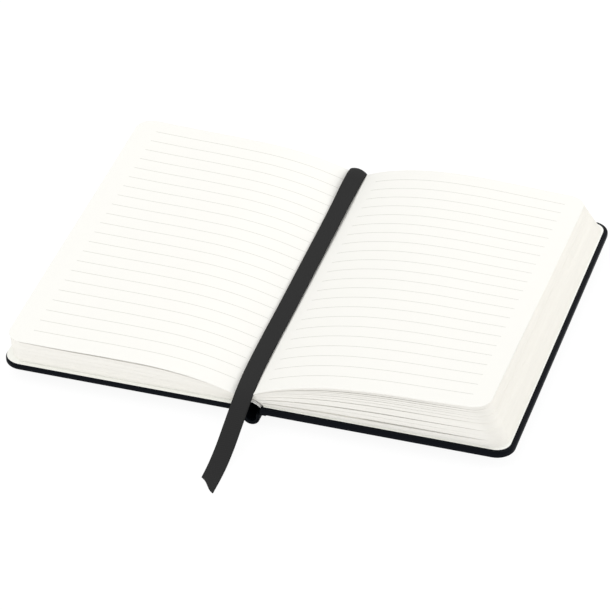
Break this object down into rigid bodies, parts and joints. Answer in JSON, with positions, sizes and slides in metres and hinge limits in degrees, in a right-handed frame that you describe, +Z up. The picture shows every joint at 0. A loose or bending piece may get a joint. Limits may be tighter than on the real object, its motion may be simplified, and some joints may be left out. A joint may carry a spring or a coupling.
{
  "type": "pocket notebook",
  "caption": "Hard-cover pocket notebook lying open near its middle, with ruled pages fanned on both covers, a soft U-shaped spine and a ribbon marker along the gutter.",
  "frame": {"origin": "under the middle of the spine, at the lowest point of the spine's bulge, half way from head to foot", "axes": "+X from the spine towards the rear cover's fore edge, +Y towards the head of the pages, +Z up out of the open pages"},
  "size_m": [0.1784, 0.1804, 0.0223],
  "materials": {
    "leatherette": "black embossed polyurethane leatherette, fine grain, satin",
    "greyboard": "uncoated grey binder's board",
    "paper": "uncoated ivory writing paper with thin grey ruling",
    "endpaper": "heavier plain ivory endpaper",
    "binding_cloth": "open white binding gauze",
    "spine_lining": "pale grey lining paper",
    "thread": "white bookbinding thread",
    "ribbon": "charcoal woven satin ribbon, matt"
  },
  "bodies": {
    "rear_half": {"rear_board": "greyboard", "rear_cover_skin": "leatherette", "rear_pastedown": "endpaper", "rear_flyleaf": "endpaper", "right_section_1": "paper", "right_section_2": "paper"},
    "right_middle_pages": {"right_section_3": "paper", "right_section_4": "paper"},
    "right_top_pages": {"right_section_5": "paper", "right_section_6": "paper", "sewing_thread": "thread", "ribbon_marker": "ribbon"},
    "turning_leaf": {"right_top_leaf": "paper"},
    "spine": {"spine_skin": "leatherette", "spine_strip": "greyboard", "spine_cloth": "binding_cloth", "spine_lining": "spine_lining"},
    "front_half": {"front_board": "greyboard", "front_cover_skin": "leatherette", "front_pastedown": "endpaper", "front_flyleaf": "endpaper", "left_section_1": "paper", "left_section_2": "paper", "left_section_3": "paper", "left_section_4": "paper", "left_section_5": "paper", "left_top_leaf": "paper"}
  },
  "joints": [
    {"name": "spine_hinge", "type": "hinge", "parent": "rear_half", "child": "spine", "pos_m": [0.00425, 0, 0.00765], "axis": [0, -1, 0], "range_deg": [-90, 0], "deforming": ["right_section_1", "right_section_2", "spine_cloth", "spine_lining"]},
    {"name": "front_cover_hinge", "type": "hinge", "parent": "spine", "child": "front_half", "pos_m": [-0.00425, 0, 0.00765], "axis": [0, -1, 0], "range_deg": [-90, 0], "deforming": ["left_section_1", "left_section_2", "left_section_3", "left_section_4", "left_section_5", "left_top_leaf"]},
    {"name": "right_middle_shift", "type": "slide", "parent": "rear_half", "child": "right_middle_pages", "axis": [1, 0, 0], "range_m": [0, 0.004], "deforming": ["right_section_3", "right_section_4"]},
    {"name": "right_top_shift", "type": "slide", "parent": "rear_half", "child": "right_top_pages", "axis": [1, 0, 0], "range_m": [0, 0.0075], "deforming": ["right_section_5", "right_section_6", "ribbon_marker"]},
    {"name": "leaf_turn", "type": "hinge", "parent": "right_top_pages", "child": "turning_leaf", "pos_m": [-0.0038, 0, 0.0096], "axis": [0, -1, 0], "range_deg": [0, 120], "deforming": ["right_top_leaf"]}
  ],
  "couplings": [
    {"joint": "front_cover_hinge", "follows": "spine_hinge", "ratio": 1},
    {"joint": "right_middle_shift", "follows": "spine_hinge", "m_per_rad": -0.0025464},
    {"joint": "right_top_shift", "follows": "spine_hinge", "m_per_rad": -0.0047745}
  ]
}
